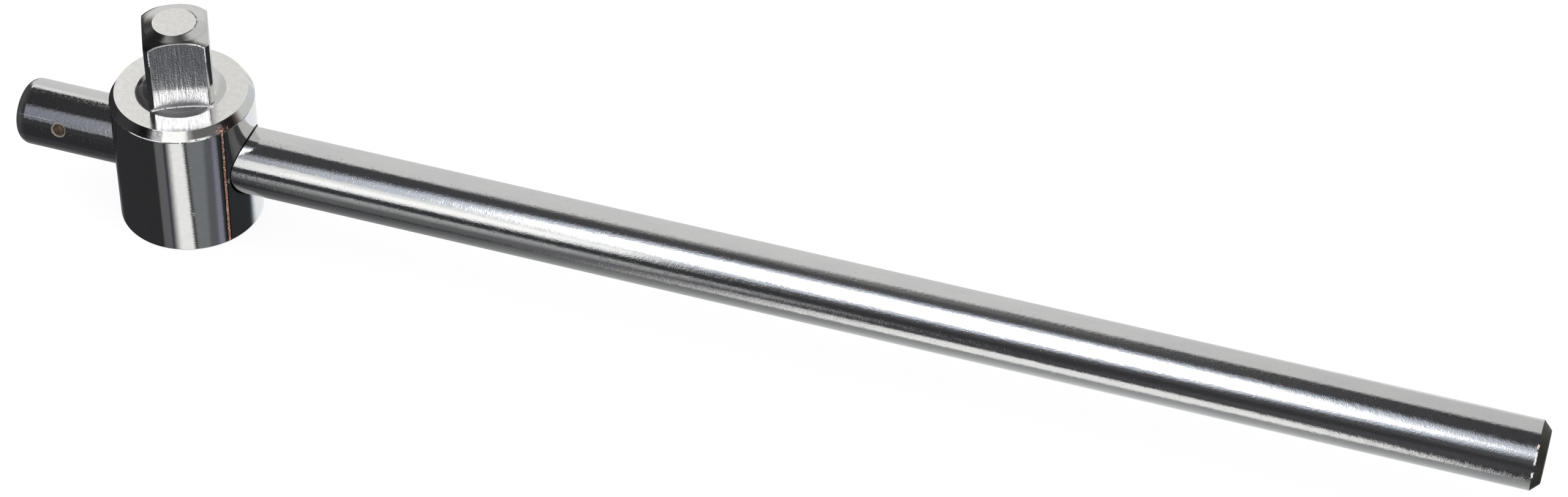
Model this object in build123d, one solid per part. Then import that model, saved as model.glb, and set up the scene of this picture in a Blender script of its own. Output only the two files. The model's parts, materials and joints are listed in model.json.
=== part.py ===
from build123d import *
import os
from math import cos, pi, sin, sqrt

# Sliding t-handle: a round head with a square drive, and a bar that slides through it.
# All lengths are in millimetres. The origin is on the drive's axis, in the plane of the head's
# top face. +Z runs along the drive to its tip, and +X along the bar to its far, long end.

# Square drive
square_width = 12.7
corner_circle_radius = 8.25
drive_height = 16.6
tip_flat_radius = 4.3
tip_cone_reach = 1.7
tip_cone_drop = 0.45
tip_crown_drop = 2.0
drive_edge_break = 0.2
drive_turn = 26.0
first_corner_turn = 45.0

# Crowned collar at the root of the drive
collar_radius = 8.8
collar_flat_radius = 6.0
collar_crown_radius = 8.0
collar_height = 0.7

# Head
head_radius = 14.2
head_height = 29.65
top_bevel_reach = 1.1
top_bevel_drop = 1.9
base_rounding = 0.3
bore_mouth_break = 0.25

# Bar
bar_radius = 6.7
bar_length = 305.0
bar_axis_depth = 14.4
near_end_reach = 34.6
near_end_rounding = 2.4
far_end_bevel = 1.65

# Fits
bar_clearance = 0.1
ball_clearance = 0.04
contact_gap = 0.03
plug_clearance = 0.02
overrun = 1.0

# Stop balls, one near each end of the bar
stop_ball_radius = 1.5
stop_ball_proud = 0.3
stop_bore_depth = 8.5
stop_sink_depth = 0.25
stop_end_distance = 10.0
stop_turn = 18.0
stop_spring_radius = 1.05
stop_wire_radius = 0.2
stop_spring_turns = 6

# Ball that holds a socket on the drive
socket_ball_radius = 2.38
socket_ball_proud = 0.75
socket_bore_depth = 9.8
socket_sink_depth = 0.2
socket_ball_height = 9.0
socket_spring_radius = 1.75
socket_wire_radius = 0.3
socket_spring_turns = 5

# Ball in the head that presses on the bar, and the plug that closes its bore
friction_ball_radius = 2.0
friction_spring_radius = 1.4
friction_wire_radius = 0.25
friction_spring_turns = 3
plug_radius = 2.9
plug_thickness = 1.6
plug_recess = 0.2
plug_edge_break = 0.2

# Places that follow from the sizes above
bar_bore_radius = bar_radius + bar_clearance
bar_near_end = -near_end_reach
bar_far_end = bar_near_end + bar_length
bar_axis_height = -bar_axis_depth
bore_floor_height = bar_axis_height - bar_bore_radius
base_height = -head_height
plug_top_height = base_height + plug_recess + plug_thickness


def rod(radius, length):
    """A plain cylinder that stands on the local origin."""
    return Cylinder(radius, length, align=(Align.CENTER, Align.CENTER, Align.MIN))


def turned(outline, plane, axis):
    """A solid of revolution from a closed outline, whose first coordinate lies along the plane's X."""
    return revolve(plane * make_face(outline), axis=axis)


def coil(radius, wire_radius, height, turns):
    """A coil spring's wire. Each quarter turn is two arcs that meet in line at its middle."""
    rise = height / (2 * pi * turns)
    half = pi / 4
    chord_side = radius * sin(half)
    lead = radius * cos(half) * chord_side + rise * rise * half
    reach = sqrt(lead**2 + chord_side**2 * (chord_side**2 + (rise * half)**2))
    middle_radius = radius * cos(half) + (reach - lead) / chord_side
    path = Curve()
    for quarter in range(4 * turns):
        start, middle, end = (2 * quarter + step for step in (0, 1, 2))
        first = TangentArc(
            (radius * cos(start * half), radius * sin(start * half), rise * start * half),
            (middle_radius * cos(middle * half), middle_radius * sin(middle * half), rise * middle * half),
            tangent=(-radius * sin(start * half), radius * cos(start * half), rise),
        )
        second = TangentArc(
            first @ 1,
            (radius * cos(end * half), radius * sin(end * half), rise * end * half),
            tangent=first % 1,
        )
        path += [first, second]
    wire = path.wire()
    return sweep(Plane(origin=wire @ 0, z_dir=wire % 0) * Circle(wire_radius), path=wire)


class BallSeat:
    """A spring ball in a bore. The local origin is on the surface, and +Z leads out of the mouth."""

    def __init__(self, place, ball_radius, proud, bore_depth, spring_radius, wire_radius, turns):
        self.place = place
        self.ball_radius = ball_radius
        self.ball_height = proud - ball_radius
        self.bore_radius = ball_radius + ball_clearance
        self.bore_depth = bore_depth
        self.spring_radius = spring_radius
        self.wire_radius = wire_radius
        self.turns = turns

    def bore(self):
        """The drilled bore, and the staked mouth that closes round the ball."""
        drilled = Pos(0, 0, -self.bore_depth) * rod(self.bore_radius, self.bore_depth + self.ball_height)
        mouth = Pos(0, 0, self.ball_height) * Sphere(self.bore_radius)
        return self.place * (drilled + mouth)

    def sink(self, depth):
        """The bevelled rim of the mouth, which starts at the staked edge."""
        rim = sqrt(self.bore_radius**2 - (self.ball_height + depth)**2)
        spread = (self.bore_radius - rim) / depth
        cone = Cone(
            rim,
            rim + spread * (depth + overrun),
            depth + overrun,
            align=(Align.CENTER, Align.CENTER, Align.MIN),
        )
        return self.place * Pos(0, 0, -depth) * cone

    def ball(self):
        return self.place * Pos(0, 0, self.ball_height) * Sphere(self.ball_radius)

    def spring(self):
        """A coil that stands on the floor of the bore and carries the ball."""
        foot = contact_gap + self.wire_radius - self.bore_depth
        reach = self.ball_radius + self.wire_radius + contact_gap
        top = self.ball_height - sqrt(reach**2 - self.spring_radius**2)
        wire = coil(self.spring_radius, self.wire_radius, top - foot, self.turns)
        return self.place * Pos(0, 0, foot) * wire


def socket_seat():
    """On the middle of the back flat."""
    flat = Rot(0, 0, drive_turn) * Pos(0, square_width / 2, socket_ball_height) * Rot(-90, 0, 0)
    return BallSeat(
        flat,
        socket_ball_radius,
        socket_ball_proud,
        socket_bore_depth,
        socket_spring_radius,
        socket_wire_radius,
        socket_spring_turns,
    )


def stop_seat(x, side):
    """On the bar, turned up from level at the front (side -1) or down from level at the back (1)."""
    level = Pos(x, 0, bar_axis_height) * Rot(-stop_turn, 0, 0)
    return BallSeat(
        level * Pos(0, side * bar_radius, 0) * Rot(-side * 90, 0, 0),
        stop_ball_radius,
        stop_ball_proud,
        stop_bore_depth,
        stop_spring_radius,
        stop_wire_radius,
        stop_spring_turns,
    )


def friction_seat():
    """In the floor of the cross hole, with its bore closed by the plug."""
    return BallSeat(
        Pos(0, 0, bore_floor_height),
        friction_ball_radius,
        bar_clearance - contact_gap,
        bore_floor_height - plug_top_height,
        friction_spring_radius,
        friction_wire_radius,
        friction_spring_turns,
    )


def drive_square():
    """The square, with turned corners, a coned and rounded tip and its sharp edges broken."""
    shoulder = (corner_circle_radius, drive_height - tip_crown_drop)
    cone_foot = (tip_flat_radius + tip_cone_reach, drive_height - tip_cone_drop)
    cone = Line((tip_flat_radius, drive_height), cone_foot)
    outline = [
        Line((0, 0), (corner_circle_radius, 0)),
        Line((corner_circle_radius, 0), shoulder),
        TangentArc(cone_foot, shoulder, tangent=cone % 1),
        cone,
        Line((tip_flat_radius, drive_height), (0, drive_height)),
        Line((0, drive_height), (0, 0)),
    ]
    # The turned surface's seam lies on a corner, clear of the flats.
    blank = Rot(0, 0, first_corner_turn) * turned(outline, Plane.XZ, Axis.Z)
    square = blank & extrude(Rectangle(square_width, square_width), drive_height)
    flats = square.faces().filter_by(GeomType.PLANE).filter_by(lambda face: abs(face.normal_at().Z) < 0.5)
    sharp = ShapeList(edge for flat in flats for edge in flat.edges() if edge.center().Z > 0)
    return Rot(0, 0, drive_turn) * fillet(sharp, drive_edge_break)


def collar():
    """The low crowned ring that the drive stands in."""
    outline = [
        Line((0, 0), (collar_radius, 0)),
        RadiusArc((collar_flat_radius, collar_height), (collar_radius, 0), collar_crown_radius),
        Line((collar_flat_radius, collar_height), (0, collar_height)),
        Line((0, collar_height), (0, 0)),
    ]
    return turned(outline, Plane.XZ, Axis.Z)


def head_barrel():
    """The turned head, with its bevelled top edge and its rounded base edge."""
    side_foot = base_height + base_rounding
    outline = [
        Line((0, 0), (head_radius - top_bevel_reach, 0)),
        Line((head_radius - top_bevel_reach, 0), (head_radius, -top_bevel_drop)),
        Line((head_radius, -top_bevel_drop), (head_radius, side_foot)),
        RadiusArc((head_radius, side_foot), (head_radius - base_rounding, base_height), base_rounding),
        Line((head_radius - base_rounding, base_height), (0, base_height)),
        Line((0, base_height), (0, 0)),
    ]
    return turned(outline, Plane.XZ, Axis.Z)


def cross_hole():
    """The bar's hole through the head."""
    length = 2 * (head_radius + overrun)
    return Pos(0, 0, bar_axis_height) * Rot(0, 90, 0) * Cylinder(bar_bore_radius, length)


def drive_head(socket, friction):
    """The head, the collar and the drive in one piece, with all their holes."""
    barrel = head_barrel() - cross_hole()
    mouths = barrel.edges().filter_by(lambda edge: edge.geom_type not in (GeomType.CIRCLE, GeomType.LINE))
    barrel = fillet(mouths, bore_mouth_break)
    body = barrel + collar() + drive_square()
    body -= [socket.bore(), socket.sink(socket_sink_depth), friction.bore()]
    plug_bore = rod(plug_radius + plug_clearance, plug_recess + plug_thickness + overrun)
    body -= Pos(0, 0, plug_top_height) * Rot(180, 0, 0) * plug_bore
    return body


def spring_plug():
    """The disc that closes the friction ball's bore."""
    disc = Pos(0, 0, base_height + plug_recess) * rod(plug_radius, plug_thickness)
    return chamfer(disc.edges().filter_by(GeomType.CIRCLE), plug_edge_break)


def slide_bar(stops):
    """The bar, rounded over at its near end and bevelled at its far end."""
    near_edge = bar_radius - near_end_rounding
    far_edge = bar_radius - far_end_bevel
    outline = [
        Line((0, 0), (0, near_edge)),
        RadiusArc((0, near_edge), (near_end_rounding, bar_radius), near_end_rounding),
        Line((near_end_rounding, bar_radius), (bar_length - far_end_bevel, bar_radius)),
        Line((bar_length - far_end_bevel, bar_radius), (bar_length, far_edge)),
        Line((bar_length, far_edge), (bar_length, 0)),
        Line((bar_length, 0), (0, 0)),
    ]
    bar = Pos(bar_near_end, 0, bar_axis_height) * turned(outline, Plane.XY, Axis.X)
    for stop in stops:
        bar -= [stop.bore(), stop.sink(stop_sink_depth)]
    return bar


socket = socket_seat()
friction = friction_seat()
near_stop = stop_seat(bar_near_end + stop_end_distance, -1)
far_stop = stop_seat(bar_far_end - stop_end_distance, 1)

pieces = {
    "drive_head": drive_head(socket, friction),
    "slide_bar": slide_bar([near_stop, far_stop]),
    "socket_ball": socket.ball(),
    "socket_ball_spring": socket.spring(),
    "friction_ball": friction.ball(),
    "friction_spring": friction.spring(),
    "spring_plug": spring_plug(),
    "near_stop_ball": near_stop.ball(),
    "near_stop_spring": near_stop.spring(),
    "far_stop_ball": far_stop.ball(),
    "far_stop_spring": far_stop.spring(),
}

os.makedirs("parts", exist_ok=True)
for node, piece in pieces.items():
    export_step(piece, f"parts/{node}.step")
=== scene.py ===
import json
from math import cos, degrees, radians, sin
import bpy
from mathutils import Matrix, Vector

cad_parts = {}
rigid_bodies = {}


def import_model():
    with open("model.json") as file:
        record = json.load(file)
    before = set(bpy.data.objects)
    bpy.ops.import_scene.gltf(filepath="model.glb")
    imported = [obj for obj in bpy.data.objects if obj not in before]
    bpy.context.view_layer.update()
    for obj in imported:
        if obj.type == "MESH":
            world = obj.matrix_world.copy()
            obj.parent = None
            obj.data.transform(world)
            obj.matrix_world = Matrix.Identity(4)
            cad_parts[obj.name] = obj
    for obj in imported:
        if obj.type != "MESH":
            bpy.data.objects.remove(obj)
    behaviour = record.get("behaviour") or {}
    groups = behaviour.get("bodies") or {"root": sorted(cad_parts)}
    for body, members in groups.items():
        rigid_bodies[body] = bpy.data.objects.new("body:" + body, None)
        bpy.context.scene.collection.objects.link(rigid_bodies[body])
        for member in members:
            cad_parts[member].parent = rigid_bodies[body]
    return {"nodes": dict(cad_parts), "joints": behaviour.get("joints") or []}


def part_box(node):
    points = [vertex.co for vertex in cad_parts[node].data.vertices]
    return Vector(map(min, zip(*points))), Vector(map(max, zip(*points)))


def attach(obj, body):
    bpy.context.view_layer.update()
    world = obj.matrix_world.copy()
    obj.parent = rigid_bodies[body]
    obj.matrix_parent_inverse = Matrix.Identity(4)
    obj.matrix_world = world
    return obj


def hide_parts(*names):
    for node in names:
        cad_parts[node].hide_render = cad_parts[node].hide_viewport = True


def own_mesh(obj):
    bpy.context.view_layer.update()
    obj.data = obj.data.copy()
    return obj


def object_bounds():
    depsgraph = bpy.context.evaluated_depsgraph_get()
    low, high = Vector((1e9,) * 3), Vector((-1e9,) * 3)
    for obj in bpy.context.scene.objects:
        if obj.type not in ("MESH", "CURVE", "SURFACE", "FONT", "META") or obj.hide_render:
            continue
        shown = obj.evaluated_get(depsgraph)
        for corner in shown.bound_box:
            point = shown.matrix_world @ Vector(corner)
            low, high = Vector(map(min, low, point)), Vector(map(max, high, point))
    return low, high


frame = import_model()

from types import SimpleNamespace

import bpy
from mathutils import Matrix, Vector

# Looks of the sliding t-handle. Blender's lengths are metres, and the materials and the studio count in
# millimetres of the model's own frame: origin where the drive leaves the head, +Z to the drive's tip,
# +X to the bar's long end, +Y to the back. Angles are degrees, and azimuths count from the front, -Y,
# towards +X. An edge is a place and the width of its fade. A band is a start, an end and the same
# width. A step is a start and an end, then the values before and after. A pattern is how many clouds
# there are to the millimetre, then the detail and the roughness of the noise. Patches are a pattern and
# the step that it is cut to. Colours are red, green and blue.

MM = 0.001
cad_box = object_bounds()

# Sizes taken from the frame
head_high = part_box("drive_head")[1]
bar_low, bar_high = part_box("slide_bar")
HEAD_RADIUS = head_high.x / MM
DRIVE_TOP = head_high.z / MM
BAR_RADIUS = (bar_high.z - bar_low.z) / 2 / MM
BAR_HEIGHT = (bar_high.z + bar_low.z) / 2 / MM
BAR_NEAR = bar_low.x / MM
BAR_FAR = bar_high.x / MM
FLOOR = cad_box[0].z / MM

# Camera, fitted to the outlines in the photograph
CAMERA_PLACE = (283.5, -535.56, 490.68)
CAMERA_RIGHT = (0.952467, 0.303895, 0.021336)
CAMERA_DOWN = (0.217121, -0.628037, -0.747280)
CAMERA_LENS = 90.544
CAMERA_SENSOR = 36.0
CAMERA_CLIP = (0.01, 100)

# Shares of a noise's range: its middle, and nearly all of it
MIDDLE = (0.35, 0.65)
WIDE = (0.3, 0.7)

# Where a mix node keeps its pair of inputs for each kind of value, and its output
MIX_SOCKETS = {"FLOAT": (2, 0), "VECTOR": (4, 1), "RGBA": (6, 2)}


# Node graphs

class Graph:
    """Short names for the nodes that the materials and the studio are made of."""

    def __init__(self, tree):
        self.tree = tree
        tree.nodes.clear()

    def node(self, kind, inputs=(), **settings):
        made = self.tree.nodes.new(kind)
        for name, value in settings.items():
            setattr(made, name, value)
        for name, value in dict(inputs).items():
            self.set(made.inputs[name], value)
        return made

    def set(self, socket, value):
        if isinstance(value, bpy.types.NodeSocket):
            self.tree.links.new(value, socket)
        elif socket.type == "RGBA":
            socket.default_value = (*value, 1.0)
        else:
            socket.default_value = value

    def math(self, operation, *values):
        made = self.node("ShaderNodeMath", operation=operation)
        for socket, value in zip(made.inputs, values):
            self.set(socket, value)
        return made.outputs[0]

    def chain(self, operation, values):
        result = values[0]
        for value in values[1:]:
            result = self.math(operation, result, value)
        return result

    def add(self, *values):
        return self.chain("ADD", values)

    def times(self, *values):
        return self.chain("MULTIPLY", values)

    def most(self, *values):
        """The largest of the values."""
        return self.chain("MAXIMUM", values)

    def minus(self, first, second):
        return self.math("SUBTRACT", first, second)

    def less(self, value):
        """One minus the value."""
        return self.minus(1.0, value)

    def over(self, first, second):
        return self.math("DIVIDE", first, second)

    def absolute(self, value):
        return self.math("ABSOLUTE", value)

    def diagonal(self, first, second):
        """The square root of the sum of their squares."""
        return self.math("SQRT", self.add(self.times(first, first), self.times(second, second)))

    def rise(self, value, start, end, low=0.0, high=1.0):
        """From low at start, smoothly, to high at end."""
        made = self.node("ShaderNodeMapRange", interpolation_type="SMOOTHSTEP")
        for name, given in (
            ("Value", value), ("From Min", start), ("From Max", end), ("To Min", low), ("To Max", high),
        ):
            self.set(made.inputs[name], given)
        return made.outputs[0]

    def steps(self, value, given):
        """Smooth steps of one value, to be added up."""
        return [self.rise(value, *step) for step in given]

    def band(self, value, start, end, soft):
        """One between start and end, with soft edges that wide, and zero outside them."""
        up = self.rise(value, start - soft / 2, start + soft / 2)
        down = self.rise(value, end - soft / 2, end + soft / 2, 1.0, 0.0)
        return self.times(up, down)

    def past(self, value, edge, soft):
        """One past the edge and zero before it, over a soft width."""
        return self.rise(self.minus(value, edge), -soft / 2, soft / 2)

    def before(self, value, edge, soft):
        return self.rise(self.minus(value, edge), -soft / 2, soft / 2, 1.0, 0.0)

    def mixed(self, kind, share, first, second, **settings):
        made = self.node("ShaderNodeMix", {0: share}, data_type=kind, **settings)
        start, result = MIX_SOCKETS[kind]
        self.set(made.inputs[start], first)
        self.set(made.inputs[start + 1], second)
        return made.outputs[result]

    def mix(self, share, first, second):
        """Numbers or sockets, mixed by share."""
        return self.mixed("FLOAT", share, first, second)

    def mixes(self, value, *layers):
        """A value with others mixed in, each with its share, one after the other."""
        for share, laid in layers:
            value = self.mix(share, value, laid)
        return value

    def tint(self, share, first, second, how="MIX"):
        """Colours, mixed by share."""
        return self.mixed("RGBA", share, first, second, blend_type=how)

    def tints(self, colour, *layers):
        """A colour with others laid over it, each with its share, the last on top."""
        for share, laid in layers:
            colour = self.tint(share, colour, laid)
        return colour

    def place(self):
        """The point's place in the model, in millimetres."""
        return self.scaled(self.node("ShaderNodeTexCoord").outputs["Object"], 1 / MM)

    def normal(self):
        """The parts of the surface's normal."""
        return self.parts(self.node("ShaderNodeTexCoord").outputs["Normal"])

    def parts(self, vector):
        return self.node("ShaderNodeSeparateXYZ", {"Vector": vector}).outputs

    def vector(self, operation, first, second, output="Vector"):
        made = self.node("ShaderNodeVectorMath", {0: first, 1: second}, operation=operation)
        return made.outputs[output]

    def scaled(self, vector, factor):
        made = self.node("ShaderNodeVectorMath", {"Vector": vector, "Scale": factor}, operation="SCALE")
        return made.outputs[0]

    def turned(self, vector, turn):
        """The place on axes that are turned about Z."""
        return self.node(
            "ShaderNodeVectorRotate", {"Vector": vector, "Angle": -radians(turn)}, rotation_type="Z_AXIS"
        ).outputs[0]

    def noise(self, place, counts, detail=2, rough=0.5, turn=0.0):
        """Clouds, with one count for every direction or a count for each of the turned axes."""
        if isinstance(counts, tuple):
            place = self.vector("MULTIPLY", self.turned(place, turn), counts)
            counts = 1.0
        return self.node(
            "ShaderNodeTexNoise", {"Vector": place, "Scale": counts, "Detail": detail, "Roughness": rough}
        ).outputs["Fac"]

    def patches(self, place, pattern, *step):
        """Noise cut to a step."""
        return self.rise(self.noise(place, *pattern), *step)

    def wandered(self, place, count, reach):
        """The place, shifted by clouds up to about reach millimetres either way."""
        cloud = self.node("ShaderNodeTexNoise", {"Vector": place, "Scale": count})
        centred = self.vector("SUBTRACT", cloud.outputs["Color"], (0.5, 0.5, 0.5))
        return self.vector("ADD", place, self.scaled(centred, 2 * reach))

    def cells(self, vector, scale):
        """Distance to the middle of the nearest of many scattered cells."""
        return self.node("ShaderNodeTexVoronoi", {"Vector": vector, "Scale": scale}).outputs["Distance"]

    def turn(self, side, y):
        """Degrees from the front, -Y, towards the side."""
        return self.times(self.math("ARCTAN2", side, self.times(y, -1.0)), degrees(1))

    def distance(self, vector, place):
        return self.vector("DISTANCE", vector, place, "Value")

    def bump(self, height, depth, normal=None):
        """Relief of that height, from nought to one, that is depth millimetres deep."""
        made = self.node("ShaderNodeBump", {"Height": height, "Strength": 1.0, "Distance": depth * MM})
        if normal is not None:
            self.set(made.inputs["Normal"], normal)
        return made.outputs[0]


def new_material(name):
    made = bpy.data.materials.new(name)
    made.use_nodes = True
    return made, Graph(made.node_tree)


def metal(graph, colour, roughness, normal, metallic=1.0):
    """Ends a material: bare or plated metal."""
    shader = graph.node(
        "ShaderNodeBsdfPrincipled",
        {"Base Color": colour, "Metallic": metallic, "Roughness": roughness, "Normal": normal},
    )
    graph.node("ShaderNodeOutputMaterial", {"Surface": shader.outputs[0]})


# Surfaces of the head: the square's turn and half width, then radii from the axis and heights above the
# head's top face
DRIVE_TURN = 26.0
DRIVE_HALF = 6.35
DRIVE_EDGE = (8.6, 0.2)
DRIVE_FOOT = (0.05, 0.05)
FLAT_SKIN = (0.03, 0.04)
CROWN_FOOT = (DRIVE_TOP - 2.4, 0.8)
COLLAR_RING = (6.0, 8.95, 0.1)
COLLAR_HEIGHTS = (-0.02, 1.2, 0.02)
COLLAR_SHADE = (-75, 52, 16)
SIDE_SKIN = 0.02
BEVEL_TOP = (-0.1, 0.1)
BEVEL_INNER = (HEAD_RADIUS - 1.3, 0.2)
BEVEL_OUTER = (HEAD_RADIUS - 0.2, 0.1)
BEVEL_FOOT = (-2.12, -1.82, 0.1)
BEVEL_WEAR = ((1.8, 2, 0.5), 0.35, 0.55)
BORE_RIM = 0.46
BORE_SOFT = 0.1

# How much a surface's normal points up: little on an upright surface, nearly all on a level one
UPRIGHT = (0.3, 0.1)
LEVEL = (0.97, 0.02)
TIP_LEVEL = (0.985, 0.01)


class Head:
    """Places on the head, and where each of its surfaces is: one on it and zero off it."""

    def __init__(self, g):
        self.place = g.place()
        self.x, self.y, self.z = g.parts(self.place)
        self.radius = g.diagonal(self.x, self.y)
        self.around = g.turn(self.x, self.y)
        normal_z = g.normal()[2]
        upright = g.before(g.absolute(normal_z), *UPRIGHT)

        # The flats lie where one turned coordinate is half the square's width
        self.across, self.along, _ = g.parts(g.turned(self.place, DRIVE_TURN))
        off_flat = g.math("MINIMUM", *(
            g.absolute(g.minus(g.absolute(turned), DRIVE_HALF)) for turned in (self.across, self.along)
        ))
        on_drive = g.times(g.before(self.radius, *DRIVE_EDGE), g.past(self.z, *DRIVE_FOOT))
        self.flat = g.times(on_drive, g.before(off_flat, *FLAT_SKIN), upright)
        self.crown = g.times(
            g.past(self.z, *CROWN_FOOT), g.less(self.flat), g.before(normal_z, *TIP_LEVEL)
        )
        self.collar = g.times(
            g.band(self.radius, *COLLAR_RING), g.band(self.z, *COLLAR_HEIGHTS), g.past(normal_z, *UPRIGHT)
        )
        self.shaded = g.times(self.collar, g.band(self.around, *COLLAR_SHADE))
        self.top = g.past(normal_z, *LEVEL)

        self.side = g.times(g.past(self.radius, HEAD_RADIUS - SIDE_SKIN, SIDE_SKIN), upright)
        self.bevel = g.times(
            g.less(self.side), g.before(self.z, *BEVEL_TOP), g.past(self.radius, *BEVEL_INNER)
        )
        self.worn = g.times(
            g.band(self.z, *BEVEL_FOOT), g.past(self.radius, *BEVEL_OUTER), g.patches(self.place, *BEVEL_WEAR)
        )
        # The bore, and a ring round the bar's mouth, where shade is painted
        from_bar = g.diagonal(self.y, g.add(self.z, -BAR_HEIGHT))
        self.bore = g.before(from_bar, BAR_RADIUS + BORE_RIM, BORE_SOFT)


# Nicks on the head's front and right, and copper-coloured spots on its bevel: azimuth, height and size
NICKS = ((27.2, -20.3, 0.36), (25.4, -20.1, 0.25), (59.5, -14.4, 0.6), (61.5, -14.2, 0.4), (29.0, -8.4, 0.25))
NICK_WANDER = (2.2, 0.5)
COPPER_SPOTS = (
    (57.0, -0.9, 1.05), (54.0, -1.1, 0.8), (56.5, -1.9, 0.8), (52.0, -0.3, 0.6), (48.5, -0.1, 0.45),
    (62.5, -1.3, 0.6), (45.0, 0.0, 0.35),
)
SPOT_WANDER = (2.6, 0.7)
SPOT_CORE_SHARE = 0.4

# Copper-coloured line that runs down the head beside the bar: widths in degrees, lean in degrees per mm
LINE_AZIMUTH = 56.6
LINE_LEAN = 0.07
LINE_WANDER = ((0.01, 0.01, 0.9), 3, 0.5)
LINE_SPECKLE = (4.2, 3, 0.75)
LINE_HALF = (1.8, 0.5)
LINE_RAGGED = 1.7
EDGING_HALF = (2.7, 0.7)
EDGING_RAGGED = 1.2

# Stains on the bevel
BRONZE_AROUND = (58, 78, 10)
DULL_AROUND = (-12, 8.5, 2.5)
DULL_PATCHES = ((1.6, 3, 0.5), 0.3, 0.6, 1.0, 0.6)

# Painted highlights at the foot and the brow of the drive's front flat, a dark burr round the drive's tip,
# and painted highlights on the bevel's lip, as two pairs of an azimuth band and a height band
FLAT_HIGHLIGHT_EDGE = (0.23, 0.08)
FOOT_HALF = (6.0, 0.2)
BROW_HALF = (5.5, 0.3)
BROW_HEIGHT = (11.0, 0.4)
FLAT_HIGHLIGHT_PATCHES = ((2.6, 2, 0.5), 0.34, 0.46)
TIP_RING = (4.15, 4.42, 0.12)
TIP_HEIGHT = (DRIVE_TOP - 1.1, 0.2)
TIP_AROUND = (35, 165, 20)
TIP_PATCHES = ((1.7, 3, 0.5), 0.38, 0.5)
LIPS = (((-20, 10, 5), (-2.06, -1.84, 0.07)), ((29, 46, 8), (-2.04, -1.5, 0.14)))
LIP_PATCHES = ((2.4, 3, 0.5), 0.34, 0.44)


def on_head(azimuth, height):
    """A place on the head's side."""
    return (HEAD_RADIUS * sin(radians(azimuth)), -HEAD_RADIUS * cos(radians(azimuth)), height)


def spots(g, place, where):
    """One at each (azimuth, height, size) on the head, fading to zero over its size."""
    return g.most(*(
        g.rise(g.distance(place, on_head(azimuth, height)), size * SPOT_CORE_SHARE, size, 1.0, 0.0)
        for azimuth, height, size in where
    ))


def copper_marks(g, head):
    """The copper-coloured line with its spots, and the dark edging of the line."""
    wander = g.noise(head.place, *LINE_WANDER)
    off_line = g.absolute(g.add(
        head.around, -LINE_AZIMUTH, g.times(head.z, -LINE_LEAN), g.times(wander, -1.0)
    ))
    speckle = g.noise(head.place, *LINE_SPECKLE)
    line = g.times(g.before(g.add(off_line, g.times(speckle, LINE_RAGGED)), *LINE_HALF), head.side)
    edging = g.times(
        g.before(g.add(off_line, g.times(speckle, EDGING_RAGGED)), *EDGING_HALF), head.side, g.less(line)
    )
    blots = spots(g, g.wandered(head.place, *SPOT_WANDER), COPPER_SPOTS)
    return g.most(line, g.times(blots, g.less(head.side))), edging


def painted_flat_highlight(g, head):
    """A painted highlight along the foot and the brow of the front flat."""
    by_flat = g.before(g.absolute(g.add(head.along, DRIVE_HALF)), *FLAT_HIGHLIGHT_EDGE)
    off_middle = g.absolute(head.across)
    foot = g.times(head.collar, by_flat, g.before(off_middle, *FOOT_HALF))
    brow = g.times(
        g.less(head.flat), by_flat, g.past(head.z, *BROW_HEIGHT), g.before(off_middle, *BROW_HALF)
    )
    return g.times(g.most(foot, brow), g.patches(head.place, *FLAT_HIGHLIGHT_PATCHES))


def tip_burr(g, head):
    """Along a part of the tip's rim."""
    ring = g.times(
        g.band(head.radius, *TIP_RING), g.past(head.z, *TIP_HEIGHT), g.band(head.around, *TIP_AROUND)
    )
    return g.times(ring, g.patches(head.place, *TIP_PATCHES))


def painted_lip_highlight(g, head):
    """A painted highlight along the bevel's outer edge."""
    lips = g.most(*(
        g.times(g.band(head.around, *around), g.band(head.z, *heights)) for around, heights in LIPS
    ))
    return g.times(lips, g.past(head.radius, *BEVEL_OUTER), g.patches(head.place, *LIP_PATCHES))


def head_marks(g, head):
    """Where the head is nicked, stained or burred, and where highlights are painted on it."""
    copper, edging = copper_marks(g, head)
    return SimpleNamespace(
        nicks=spots(g, g.wandered(head.place, *NICK_WANDER), NICKS),
        copper=copper,
        edging=edging,
        bronze=g.times(g.band(head.around, *BRONZE_AROUND), head.bevel),
        dull=g.times(g.band(head.around, *DULL_AROUND), head.bevel, g.patches(head.place, *DULL_PATCHES)),
        painted_flat_highlight=painted_flat_highlight(g, head),
        tip_burr=tip_burr(g, head),
        lip=painted_lip_highlight(g, head),
    )


# Patterns of the head, and their depths in millimetres. The first two run up the flats.
COARSE_GRIND = ((2.2, 2.2, 0.1), 2, 0.6)
FINE_GRIND = ((7.0, 7.0, 0.7), 3, 0.7)
SCALES = (3.2, 3, 0.65)
RIPPLE = ((0.9, 0.9, 3.2), 2, 0.6)
TURNING = ((0.12, 0.12, 9.0), 2, 0.5)
GRAIN = (5.5, 2, 0.6)
MOTTLE = (0.9, 4, 0.65)
BRUSHED = ((4.5, 0.5, 4.5), 3, 0.65)
BRUSHED_TURN = 62
COARSE_GRIND_DEPTH = 0.085
FINE_GRIND_DEPTH = 0.02
FLAT_SCALES_DEPTH = 0.06
COLLAR_SCALES_DEPTH = 0.08
RIPPLE_DEPTH = 0.0055
TURNING_DEPTH = 0.0006
SIDE_GRAIN_DEPTH = 0.0012
TOP_GRAIN_DEPTH = 0.004
TOP_MOTTLE_DEPTH = 0.008
BRUSHED_DEPTH = 0.006
NICK_DEPTH = 0.015

# How far shading normals lean: the front flat's to its right above its foot, the collar's outwards, and
# the worn bevel's foot upwards
FLAT_LEAN = 0.19
FLAT_LEAN_HEIGHT = (5.0, 1.2)
FRONT_HALF = (0.0, 0.1)
COLLAR_LEAN = 0.035
COLLAR_LEAN_RING = (7.4, 0.6)
WORN_LEAN = 0.3


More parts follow.
